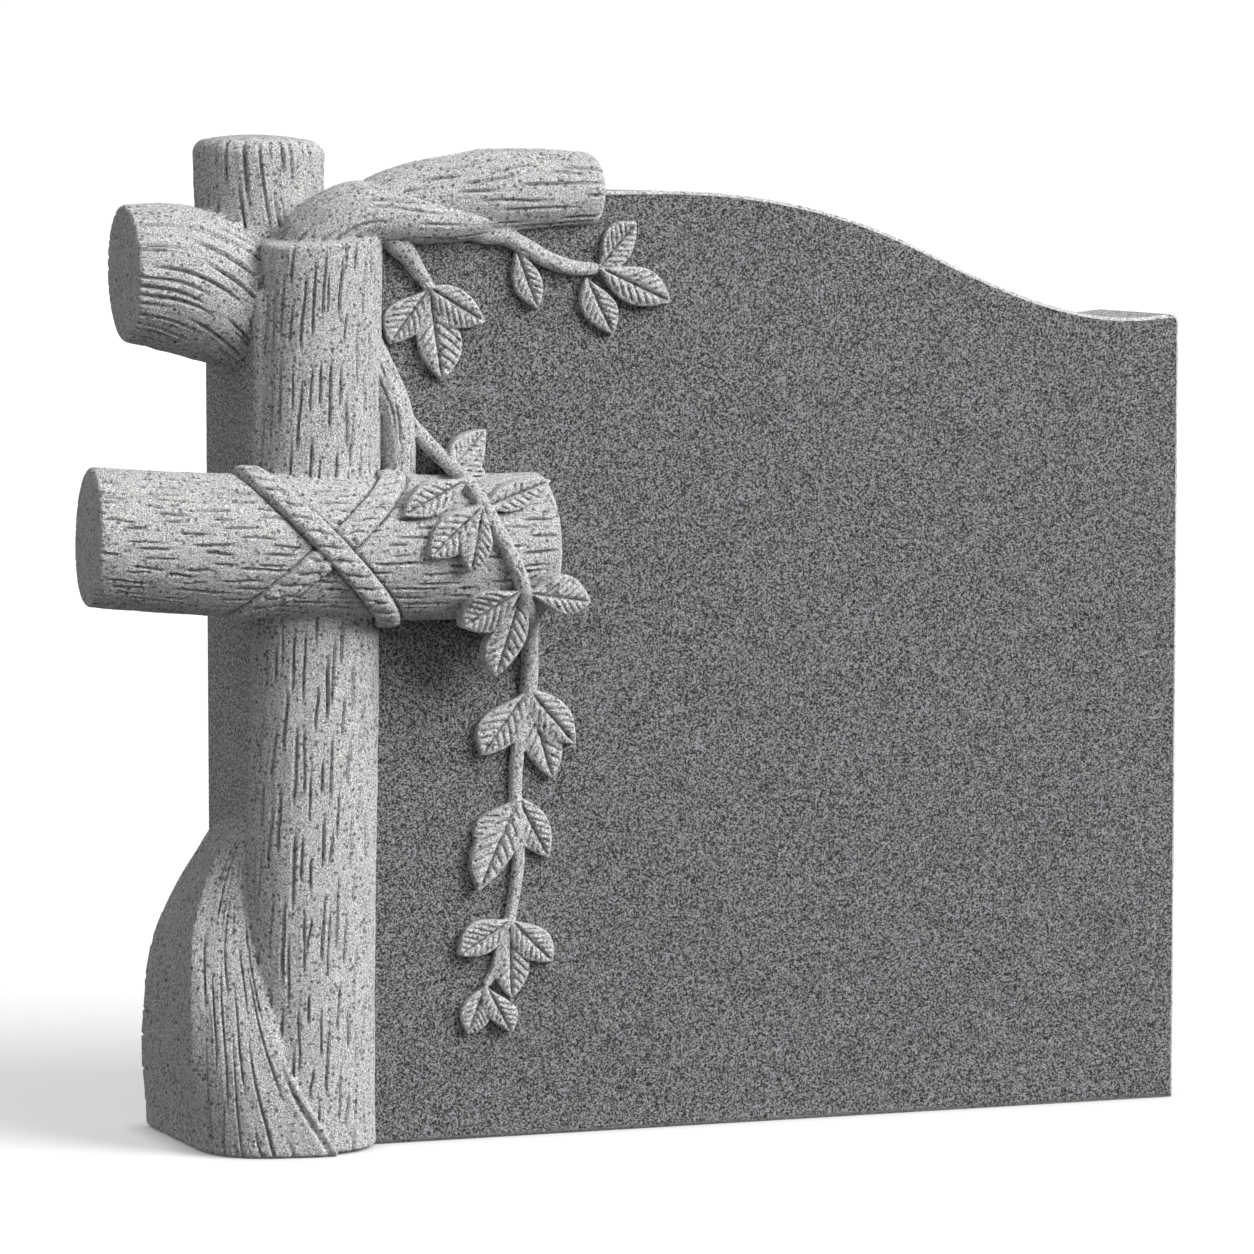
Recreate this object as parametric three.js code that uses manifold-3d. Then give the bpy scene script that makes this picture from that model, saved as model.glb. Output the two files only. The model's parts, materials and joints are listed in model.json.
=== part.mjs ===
// Granite headstone carved from one block: an upright slab with a polished face, and at its left
// end a rustic cross of two barked logs tied with rope, a tree stub with two boughs above them,
// a root round the foot, and a vine with leaves that hangs down the polished face.
// Sizes are in millimetres. Slab coordinates: X from the slab's left side, Y back from the
// polished face, Z up from the base. The finished stone is moved so that the origin lies at the
// middle of the slab's underside.
import * as THREE from 'three';
import { mergeVertices } from 'three/addons/utils/BufferGeometryUtils.js';
import Module from 'manifold-3d';

const wasm = await Module();
wasm.setup();

// The slab and its serpentine top: [x, z, slope] at the left shoulder, at both ends of the peak,
// halfway down the fall and at the dip, and the height that it turns up to at the right
const SLAB = { width: 900, depth: 170, chamfer: 3, corner: 7 };
const TOP = {
  shoulder: [0, 785, 0.42],
  peakFrom: [330, 860, 0],
  peakTo: [380, 860, 0],
  fall: [640, 805, -0.476],
  dip: [850, 740, 0],
  right: 743,
  upturn: 0.1,
};

// The two crossed logs: centre lines with the half width across the front and the half depth
const POST = {
  path: [[51, 20, 0], [51, 20, 110], [54, 20, 270], [59, 19, 430], [62, 18, 620], [67, 18, 816]],
  wide: [61.5, 61.5, 61, 58, 57, 54.5],
  cut: { across: 0.09, front: -0.12 },
};
const LOG = {
  path: [[-155, -12, 556], [-56, -17, 548], [55, -19, 543], [164, -16, 540], [268, -12, 540]],
  wide: [61.5, 63, 65, 65, 65],
};

// The trunk stub behind the post, and the boughs that leave it to the left and to the right
const STUB = {
  path: [[40, 85, 700], [32, 85, 780], [27, 85, 850], [26, 85, 905]],
  wide: [44, 52, 60, 60.5],
  dome: 10,
};
const ARM = {
  path: [[-106, 60, 790], [-62, 60, 788], [-18, 62, 772], [22, 66, 735], [44, 70, 680]],
  wide: [61, 65, 70, 62, 48],
};
const BOUGH = {
  path: [[102, 30, 838], [146, 24, 851], [203, 22, 857], [265, 22, 861], [331, 22, 861]],
  wide: [20, 34, 42, 40, 35],
  deep: [34, 40, 46, 46, 42],
};
const LOBE = {
  path: [[38, 40, 780], [62, 22, 816], [96, 14, 838], [140, 14, 840], [200, 16, 838]],
  wide: [22, 32, 31, 24, 20],
  deep: [30, 40, 40, 34, 26],
};

// Rope bands round the crossing: a tilted ring each, from its top end to its foot
const ROPES = [
  { top: 113, foot: -13, wide: 14, deep: 9, lift: -2 },
  { top: -8, foot: 118, wide: 11, deep: 11, lift: 0 },
];
const ROPE = { rows: 18, turns: 9, wrap: 0.56, spiral: 1.8 };

// The root at rising heights: [height, x] of the buttress's back and front corners and of the fold
// that ends on the post, and [height, y] of the fold's front and of its edge
const ROOT = {
  back: [[0, -63], [105, -65], [150, -61], [190, -49], [225, -32], [262, -8], [300, 8], [318, 10]],
  side: [[0, -52], [100, -62], [150, -62], [200, -57], [240, -45], [285, -28], [318, 2]],
  sideEnd: [[0, 15], [100, 30], [200, 50], [318, 62]],
  bulge: [[0, -40], [100, -36], [200, -17], [260, -4], [318, 12]],
  edge: [[0, 62], [30, 44], [60, 27], [100, 10], [150, 0], [200, -8], [260, -11], [318, -6]],
  edgeFront: [[0, -46], [60, -44], [100, -33], [150, -18], [200, -4], [260, 6], [318, 24]],
  levels: [0, 8, 30, 60, 100, 150, 200, 240, 285, 318],
  foot: 5,
};

// Round stems: the vine, the root of the vine beside the post, and two twigs under the bough
const STEMS = [
  {
    path: [[100, 6, 740], [112, -2, 705], [124, -4, 670], [129, -4, 630], [129, -2, 590]],
    wide: [12, 16, 19, 19, 18],
  },
  {
    path: [[128, -2, 672], [148, -6, 646], [172, -26, 617], [185, -58, 596], [200, -79, 563],
      [219, -80, 526], [235, -62, 490], [252, -16, 462], [255, -3, 412], [245, -3, 362],
      [242, -3, 312], [245, -3, 258], [237, -3, 202], [225, -3, 160], [213, -3, 140]],
    wide: [9, 9, 9, 9, 8.5, 8.5, 8.5, 8.5, 8.5, 7, 6.5, 6.5, 6, 5, 4],
  },
  {
    path: [[118, 2, 832], [129, -3, 817], [141, -4, 804], [151, -4, 789], [163, -3, 773]],
    wide: [13, 12, 9, 7, 5],
  },
  {
    path: [[190, 0, 832], [213, -3, 822], [232, -4, 820], [248, -4, 812], [270, -4, 800],
      [296, -4, 791], [322, -3, 790]],
    wide: [9, 9, 8, 8, 7.5, 7, 5],
  },
];

// Sprays of leaves: turn is the way a leaf points, in degrees from +X up, and over lifts one
// leaf above its neighbours
const LEAF = { lift: 7, rise: 2.5, blunt: 1.2, across: 4, rows: 5 };
const SPRAYS = [
  { at: [161, 774], leaves: [
    { turn: -127, length: 62, width: 37 }, { turn: -82, length: 84, width: 42 },
    { turn: -31, length: 60, width: 34, over: 3 }] },
  { at: [243, 808], leaves: [{ turn: -69, length: 57, width: 27 }] },
  { at: [322, 791], leaves: [
    { turn: 49, length: 54, width: 37 }, { turn: -25, length: 74, width: 37, over: 3 }] },
  { at: [310, 782], leaves: [{ turn: -64, length: 57, width: 32 }] },
  { at: [183, 613], leaves: [{ turn: 47, length: 45, width: 34 }] },
  { at: [177, 606], leaves: [{ turn: -154, length: 70, width: 29 }] },
  { at: [194, 582], leaves: [{ turn: 18, length: 76, width: 27 }] },
  { at: [186, 583], leaves: [
    { turn: -138, length: 68, width: 33 }, { turn: -102, length: 61, width: 29, over: 3 }] },
  { at: [233, 501], leaves: [{ turn: -9, length: 76, width: 37 }] },
  { at: [226, 499], leaves: [
    { turn: -98, length: 74, width: 35 }, { turn: -135, length: 58, width: 38, over: 3 }] },
  { at: [253, 410], leaves: [
    { turn: -74, length: 86, width: 36 }, { turn: -127, length: 74, width: 39, over: 2 },
    { turn: -49, length: 68, width: 34, over: 3 }] },
  { at: [243, 312], leaves: [
    { turn: -130, length: 60, width: 30 }, { turn: -62, length: 64, width: 33 },
    { turn: -114, length: 92, width: 38, over: 3 }] },
  { at: [236, 200], leaves: [
    { turn: -89, length: 72, width: 35 }, { turn: -148, length: 58, width: 32, over: 2 },
    { turn: -45, length: 56, width: 33, over: 3 }] },
  { at: [213, 141], leaves: [
    { turn: -112, length: 47, width: 29 }, { turn: -62, length: 50, width: 28, over: 2 }] },
];

const GRANITE = { color: 0x9c9c99, roughness: 0.7, metalness: 0 };
const BARK = { sides: 38, rows: 12, groove: 2.4 };
const RIM = 3;
const BURIED = 12;
const NO_CUT = { across: 0, front: 0 };

// Value at x of a line through the named points
function along(points, x) {
  const last = points.length - 1;
  const next = points.findIndex((p) => p[0] >= x);
  if (next <= 0) return next === 0 ? points[0][1] : points[last][1];
  const [a, b] = [points[next - 1], points[next]];
  return a[1] + ((b[1] - a[1]) * (x - a[0])) / (b[0] - a[0]);
}

// Value at t, from 0 to 1, of a list of evenly spaced values
function spread(values, t) {
  const step = t * (values.length - 1);
  const low = Math.min(Math.floor(step), values.length - 2);
  return values[low] + (values[low + 1] - values[low]) * (step - low);
}

// One closed geometry as a solid that can be joined and cut
function solid(geometry) {
  geometry.deleteAttribute('normal');
  geometry.deleteAttribute('uv');
  const merged = mergeVertices(geometry);
  return new wasm.Manifold(new wasm.Mesh({
    numProp: 3,
    vertProperties: new Float32Array(merged.attributes.position.array),
    triVerts: new Uint32Array(merged.index.array),
  }));
}

// A solid's triangles as a geometry with flat shading
function faceted(body) {
  const mesh = body.getMesh();
  const geometry = new THREE.BufferGeometry();
  geometry.setAttribute('position', new THREE.BufferAttribute(mesh.vertProperties, 3));
  geometry.setIndex(new THREE.BufferAttribute(mesh.triVerts, 1));
  return geometry;
}

// A stretch of the top from one place to the next, with the slope it has at each
function curveTo(shape, [x0, z0, slope0], [x1, z1, slope1]) {
  const third = (x1 - x0) / 3;
  shape.bezierCurveTo(x0 + third, z0 + slope0 * third, x1 - third, z1 - slope1 * third, x1, z1);
}

// The slab's front outline: serpentine top, small rounded corner at the right
function slabOutline() {
  const { width, corner } = SLAB;
  const { shoulder, peakFrom, peakTo, fall, dip, right } = TOP;
  const shape = new THREE.Shape();
  shape.moveTo(0, 0);
  shape.lineTo(shoulder[0], shoulder[1]);
  curveTo(shape, shoulder, peakFrom);
  shape.lineTo(peakTo[0], peakTo[1]);
  curveTo(shape, peakTo, fall);
  curveTo(shape, fall, dip);
  curveTo(shape, dip, [width - corner, right, TOP.upturn]);
  shape.quadraticCurveTo(width, right, width, right - corner);
  shape.lineTo(width, 0);
  shape.closePath();
  return shape;
}

function slab() {
  const { depth, chamfer } = SLAB;
  const geometry = new THREE.ExtrudeGeometry(slabOutline(), {
    depth: depth - 2 * chamfer,
    bevelThickness: chamfer,
    bevelSize: chamfer,
    bevelOffset: -chamfer,
    bevelSegments: 1,
    curveSegments: 12,
  });
  geometry.translate(0, 0, chamfer - depth);
  geometry.rotateX(Math.PI / 2);
  return solid(geometry);
}

// Ring k of a limb: how far along its path it lies, from 0 to 1, with a narrow ring at each rim
function ringPlace(k, rows, length) {
  const rim = RIM / length;
  if (k === 0) return 0;
  if (k === rows) return 1;
  return rim + ((1 - 2 * rim) * (k - 1)) / (rows - 2);
}

// A limb: a capped cylinder bent along a path, with its half width and half depth changing on
// the way. groove sinks staggered strokes of bark into every second side, spiral sinks the lay of
// a rope's strands, cut slants the far end, and dome swells it.
function limb({ path, wide, deep = wide, sides, rows, groove = 0, spiral = 0, cut = NO_CUT,
  dome = 0, rim = RIM }) {
  const curve = new THREE.CatmullRomCurve3(path.map((p) => new THREE.Vector3(...p)));
  const length = curve.getLength();
  const forward = new THREE.Vector3(0, -1, 0);
  const geometry = new THREE.CylinderGeometry(1, 1, 1, sides, rows);
  const position = geometry.attributes.position;
  for (let i = 0; i < position.count; i += 1) {
    const [x, y, z] = [position.getX(i), position.getY(i), position.getZ(i)];
    const k = Math.round((0.5 + y) * rows);
    const side = Math.round(((Math.atan2(x, z) / (2 * Math.PI)) + 1) * sides) % sides;
    const angle = (2 * Math.PI * side) / sides;
    const t = ringPlace(k, rows, length);
    const tangent = curve.getTangent(t);
    const across = new THREE.Vector3().crossVectors(tangent, forward).normalize();
    const front = new THREE.Vector3().crossVectors(across, tangent);
    const end = k === 0 || k === rows;
    const stroke = side % 2 === 1 && !end && (side + 3 * Math.floor((2 * k + side) / 6)) % 4 > 0;
    const strand = (side + k) % 3 === 0 && !end;
    const sink = (end ? rim : 0) + (stroke ? groove : 0) + (strand ? spiral : 0);
    const reach = Math.hypot(x, z) > 0.5 ? 1 : 0;
    const u = reach * Math.sin(angle) * (spread(wide, t) - sink);
    const v = reach * Math.cos(angle) * (spread(deep, t) - sink);
    const slant = k >= rows - 1 ? cut.across * u + cut.front * v : 0;
    const lift = slant + (k === rows && reach === 0 ? dome : 0);
    const point = curve.getPoint(t).addScaledVector(across, u).addScaledVector(front, v);
    point.addScaledVector(tangent, lift);
    position.setXYZ(i, point.x, point.y, point.z);
  }
  return solid(geometry);
}

// A log, bough or trunk with bark
function barked(form) {
  return limb({ ...BARK, ...form });
}

// How far the log or the post stands in front of the polished face at a place on it
function frontOf(x, z) {
  const t = (x - LOG.path[0][0]) / (LOG.path[4][0] - LOG.path[0][0]);
  const offset = z - spread(LOG.path.map((p) => p[2]), Math.min(Math.max(t, 0), 1));
  const radius = spread(LOG.wide, Math.min(Math.max(t, 0), 1));
  if (t < 0 || t > 1 || Math.abs(offset) > radius) return 0;
  return Math.min(0, spread(LOG.path.map((p) => p[1]), t) - Math.sqrt(radius ** 2 - offset ** 2));
}

// A rope band over the log's front: a half ring tilted from its top end to its foot, with the
// strands as a spiral of ridges
function rope({ top, foot, wide, deep, lift }) {
  const path = [];
  const { turns } = ROPE;
  for (let i = 0; i < turns; i += 1) {
    const angle = Math.PI * ROPE.wrap * (1 - (2 * i) / (turns - 1));
    const x = foot + ((top - foot) * (1 + Math.sin(angle))) / 2;
    const t = (x - LOG.path[0][0]) / (LOG.path[4][0] - LOG.path[0][0]);
    const reach = spread(LOG.wide, t) + lift;
    const [y, z] = [1, 2].map((axis) => spread(LOG.path.map((p) => p[axis]), t));
    path.push([x, y - reach * Math.cos(angle), z + reach * Math.sin(angle)]);
  }
  return limb({
    path, wide: [wide, wide], deep: [deep, deep], sides: 9, rows: ROPE.rows, spiral: ROPE.spiral, rim: 1,
  });
}

// The root's outline at a height, seen from above: round the fold's front to its edge on the
// post, back inside the slab, and along the buttress's side
function rootOutline(height) {
  const inset = height === 0 ? ROOT.foot : 0;
  const side = along(ROOT.side, height) + inset;
  const bulge = along(ROOT.bulge, height) + inset;
  const fold = new THREE.QuadraticBezierCurve(
    new THREE.Vector2(side, along(ROOT.sideEnd, height)),
    new THREE.Vector2(side, bulge),
    new THREE.Vector2(along(ROOT.edge, height), along(ROOT.edgeFront, height) + inset),
  );
  const rear = SLAB.depth - 1;
  const back = along(ROOT.back, height) + inset;
  const inner = [[along(ROOT.edge, height), 60], [40, 150], [14, rear]];
  const flank = [[back + 4, rear], [back, rear - 4], [(back + side) / 2, rear / 2]];
  return [...fold.getPoints(8).map((p) => [p.x, p.y]), ...inner, ...flank];
}

// The root: a capped cylinder whose rings follow its outline at each level
function root() {
  const { levels } = ROOT;
  const rows = levels.length - 1;
  const columns = rootOutline(0).length;
  const geometry = new THREE.CylinderGeometry(1, 1, 1, columns, rows);
  const position = geometry.attributes.position;
  for (let i = 0; i < position.count; i += 1) {
    const [x, y, z] = [position.getX(i), position.getY(i), position.getZ(i)];
    const height = levels[Math.round((0.5 + y) * rows)];
    const column = Math.round((Math.atan2(x, z) / (2 * Math.PI) + 1) * columns) % columns;
    const middle = Math.hypot(x, z) < 0.5;
    const [px, py] = middle ? [8, 90] : rootOutline(height)[column];
    position.setXYZ(i, px, py, height);
  }
  return solid(geometry);
}

// A leaf on the stone: pointed outline, two lobes that rise from a sunk midrib to a lower rim,
// and a back buried in what carries it
function leaf([baseX, baseZ], { turn, length, width, over = 0 }) {
  const { across, rows, lift, rise, blunt } = LEAF;
  const angle = THREE.MathUtils.degToRad(turn);
  const [dx, dz] = [Math.cos(angle), Math.sin(angle)];
  const base = frontOf(baseX, baseZ);
  const tip = frontOf(baseX + dx * length, baseZ + dz * length);
  const geometry = new THREE.BoxGeometry(1, 1, 1, across, rows, 1);
  const position = geometry.attributes.position;
  for (let i = 0; i < position.count; i += 1) {
    const part = position.getY(i) + 0.5;
    const lobe = 2 * position.getX(i);
    const half = Math.max(blunt, (width / 2) * Math.sin(Math.PI * part ** 0.85) ** 0.8);
    const x = baseX + dx * length * part + dz * half * lobe;
    const z = baseZ + dz * length * part - dx * half * lobe;
    const ground = Math.min(base + (tip - base) * part, frontOf(x, z));
    const lobeRise = Math.abs(lobe) === 0.5 ? rise : 0;
    const y = position.getZ(i) > 0 ? ground - lift - over - lobeRise : BURIED;
    position.setXYZ(i, x, y, z);
  }
  return solid(geometry);
}

// Every limb, band, stem and leaf joined to the slab as one stone, solid between them
function headstone() {
  const forms = [
    slab(),
    root(),
    barked(POST),
    barked(LOG),
    barked({ ...STUB, rows: 8 }),
    barked({ ...ARM, rows: 10 }),
    barked({ ...BOUGH, sides: 30, rows: 10 }),
    barked({ ...LOBE, sides: 24, rows: 8 }),
    ...ROPES.map(rope),
    ...STEMS.map(({ path, wide }) => limb({ path, wide, sides: 8, rows: path.length + 1, rim: 1 })),
    ...SPRAYS.flatMap(({ at, leaves }) => leaves.map((form) => leaf(at, form))),
  ];
  const joined = forms.reduce((whole, form) => whole.add(form));
  const [stone] = joined.decompose().sort((a, b) => b.volume() - a.volume());
  return stone.translate([-SLAB.width / 2, -SLAB.depth / 2, 0]);
}

const stone = new THREE.Mesh(faceted(headstone()), new THREE.MeshStandardMaterial(GRANITE));
stone.name = 'headstone';

const group = new THREE.Group();
group.add(stone);

export default group;
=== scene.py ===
"""A granite headstone carved from one block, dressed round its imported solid.

A slab with a serpentine top carries, at its left end, a rustic cross of two barked logs lashed
with rope, a tree stub with its boughs, a root round the foot, and a vine that hangs down the
polished face. Sizes are in millimetres in slab coordinates: X from the slab's left side, Y back
from the polished face and Z up from the base. The finished mesh is in metres, with its origin at
the middle of the slab's underside.
"""
import json
import logging
import math
from dataclasses import dataclass, field
from enum import Enum
from typing import Optional, Sequence

import bmesh
import bpy
import numpy as np
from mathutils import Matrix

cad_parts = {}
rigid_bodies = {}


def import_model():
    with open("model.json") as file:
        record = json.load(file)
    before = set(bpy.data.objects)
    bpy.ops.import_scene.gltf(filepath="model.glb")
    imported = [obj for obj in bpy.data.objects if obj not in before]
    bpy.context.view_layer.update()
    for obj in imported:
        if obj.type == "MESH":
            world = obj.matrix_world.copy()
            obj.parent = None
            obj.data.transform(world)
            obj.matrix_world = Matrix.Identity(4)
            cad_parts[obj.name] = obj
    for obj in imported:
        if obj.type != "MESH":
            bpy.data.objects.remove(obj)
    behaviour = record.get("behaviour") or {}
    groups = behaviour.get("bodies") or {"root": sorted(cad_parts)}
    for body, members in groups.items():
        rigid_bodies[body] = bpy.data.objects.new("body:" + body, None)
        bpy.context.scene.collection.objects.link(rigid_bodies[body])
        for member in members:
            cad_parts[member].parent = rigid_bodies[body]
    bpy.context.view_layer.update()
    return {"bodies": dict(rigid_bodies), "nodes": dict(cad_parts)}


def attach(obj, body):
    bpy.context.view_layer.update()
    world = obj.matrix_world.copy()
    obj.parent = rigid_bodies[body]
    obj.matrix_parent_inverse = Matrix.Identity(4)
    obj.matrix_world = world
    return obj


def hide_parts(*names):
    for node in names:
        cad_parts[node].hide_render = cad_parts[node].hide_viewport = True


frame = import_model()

import openvdb
from mathutils import Vector

Point = tuple[float, float, float]
Spot = tuple[float, float]
Profile = tuple[Spot, ...]

LOG = logging.getLogger("headstone")
NODE = "headstone"
BODY = "root"
MM = 0.001

# The cell of the carving's grid, and how many triangles the carving keeps
STEP = 1.2
FACES = 196000
# How far round a form its distance is worked out, and the distance that stands for open air
REACH = 14.0
FAR = 40.0
# How deep a leaf on the polished face is let into the slab
BURIED = 12.0


class Finish(Enum):
    """The ways the mason left the granite's surface, and their place among the materials."""

    CARVED = 0
    POLISHED = 1
    SAWN = 2


def smooth_line(points: Profile, x: np.ndarray) -> np.ndarray:
    """A smooth line through points, flat beyond its ends.

    Args:
        points: places and values, in rising order of place.
        x: the places to read it at.

    Returns:
        The value at each place.
    """
    places, values = np.array(points, float).T
    slopes = np.gradient(values, places)
    x = np.clip(x, places[0], places[-1])
    k = np.clip(np.searchsorted(places, x) - 1, 0, len(places) - 2)
    span = places[k + 1] - places[k]
    t = (x - places[k]) / span
    start = (1 + 2 * t) * (1 - t) ** 2 * values[k] + t * (1 - t) ** 2 * span * slopes[k]
    return start + t * t * (3 - 2 * t) * values[k + 1] + t * t * (t - 1) * span * slopes[k + 1]


def soft_union(a: np.ndarray, b: np.ndarray, soft: float) -> np.ndarray:
    """Joins two distances with a fillet.

    Args:
        a: one signed distance.
        b: the other.
        soft: how far from the crease the fillet reaches.

    Returns:
        The signed distance of both together.
    """
    near = np.maximum(soft - np.abs(a - b), 0)
    return np.minimum(a, b) - near * near / (4 * soft)


def round_cut(a: np.ndarray, b: np.ndarray, radius: float) -> np.ndarray:
    """Keeps what is inside both distances, with the edge between them rounded.

    Args:
        a: one signed distance.
        b: the other.
        radius: the radius of the rounded edge.

    Returns:
        The signed distance of what both hold.
    """
    outside = np.hypot(np.maximum(a + radius, 0), np.maximum(b + radius, 0)) - radius
    return np.where(np.maximum(a, b) < -radius, np.maximum(a, b), outside)


def outline_distance(
    px: np.ndarray, py: np.ndarray, outline: np.ndarray
) -> tuple[np.ndarray, np.ndarray]:
    """How far points of a plane lie from a closed outline.

    Args:
        px: first coordinate of each point.
        py: second coordinate of each point.
        outline: the outline's corners, one row each.

    Returns:
        The signed distance, negative inside, and the place along the outline that is nearest,
        counted in corners.
    """
    nearest = np.full(np.broadcast(px, py).shape, FAR**2, np.float32)
    place = np.zeros_like(nearest)
    inside = np.zeros(nearest.shape, bool)
    for k, ((ax, ay), (bx, by)) in enumerate(zip(outline, np.roll(outline, -1, axis=0))):
        dx, dy = bx - ax, by - ay
        size = max(dx * dx + dy * dy, 1e-9)
        t = np.clip(((px - ax) * dx + (py - ay) * dy) / size, 0, 1)
        gap = (px - ax - t * dx) ** 2 + (py - ay - t * dy) ** 2
        better = gap < nearest
        nearest = np.where(better, gap, nearest)
        place = np.where(better, k + t, place)
        if ay != by:
            inside ^= ((ay > py) != (by > py)) & (px < ax + dx * (py - ay) / dy)
    distance = np.sqrt(nearest)
    return np.where(inside, -distance, distance), place


@dataclass
class Window:
    """A box-shaped part of a block, with the coordinates of its nodes."""

    slices: tuple[slice, ...]
    x: np.ndarray
    y: np.ndarray
    z: np.ndarray

    @property
    def shape(self) -> tuple[int, int, int]:
        """How many nodes it has each way."""
        return self.x.size, self.y.size, self.z.size

    def inner(self, low: np.ndarray, high: np.ndarray) -> "Window":
        """The part of this window between two corners.

        Args:
            low: the lowest corner.
            high: the highest corner.

        Returns:
            The smaller window.
        """
        spans = []
        for axis, low_end, high_end in zip((self.x, self.y, self.z), low, high):
            line = axis.ravel()
            first = np.searchsorted(line, low_end)
            spans.append(slice(first, max(np.searchsorted(line, high_end), first + 1)))
        return Window(tuple(spans), self.x[spans[0]], self.y[:, spans[1]], self.z[:, :, spans[2]])


@dataclass
class Block:
    """A grid that holds a signed distance in millimetres, negative in the stone."""

    low: Point
    high: Point
    step: float = STEP
    distance: np.ndarray = field(init=False)

    # How deep a groove along an edge is, and how many cells from the surface the grid keeps
    MOAT_DEPTH = 4.2
    BAND = 3

    def __post_init__(self) -> None:
        """Fills the block with open air."""
        size = (np.array(self.high) - np.array(self.low)) / self.step
        self.distance = np.full(tuple(np.ceil(size).astype(int) + 1), FAR, np.float32)

    def window(self, low: Sequence[float], high: Sequence[float]) -> Window:
        """The part of the block between two corners.

        Args:
            low: the lowest corner.
            high: the highest corner.

        Returns:
            The window, cut to the block.
        """
        slices, lines = [], []
        for axis in range(3):
            first = int((low[axis] - self.low[axis]) / self.step)
            last = int((high[axis] - self.low[axis]) / self.step) + 2
            first, last = max(first, 0), min(last, self.distance.shape[axis])
            slices.append(slice(first, last))
            shape = [1, 1, 1]
            shape[axis] = -1
            line = self.low[axis] + self.step * np.arange(first, last)
            lines.append(line.astype(np.float32).reshape(shape))
        return Window(tuple(slices), *lines)

    def join(self, window: Window, distance: np.ndarray, soft: float, moat: float = 0.0) -> None:
        """Adds a form to the block.

        Args:
            window: the part of the block that it lies in.
            distance: its signed distance there.
            soft: how far the fillet reaches where it meets what is there.
            moat: how wide a groove is cut along its edge first.
        """
        here = self.distance[window.slices]
        if moat:
            steep = moat / self.MOAT_DEPTH
            here = np.maximum(here, (moat + steep * here - distance) / math.hypot(1, steep))
        self.distance[window.slices] = soft_union(here, distance.astype(np.float32), soft)

    def add(self, other: "Block", soft: float) -> None:
        """Adds another block of the same size."""
        self.distance = soft_union(self.distance, other.distance, soft)

    def surface(self) -> tuple[np.ndarray, np.ndarray, np.ndarray]:
        """The surface where the distance is nought.

        Returns:
            Its points in millimetres, its triangles and its quads.
        """
        band = self.BAND * self.step
        grid = openvdb.FloatGrid(band)
        grid.copyFromArray(np.clip(self.distance, -band, band), (0, 0, 0), 0.0)
        grid.gridClass = openvdb.GridClass.LEVEL_SET
        points, triangles, quads = grid.convertToPolygons(0.0, 0.0)
        return points * self.step + np.array(self.low), triangles, quads


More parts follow.
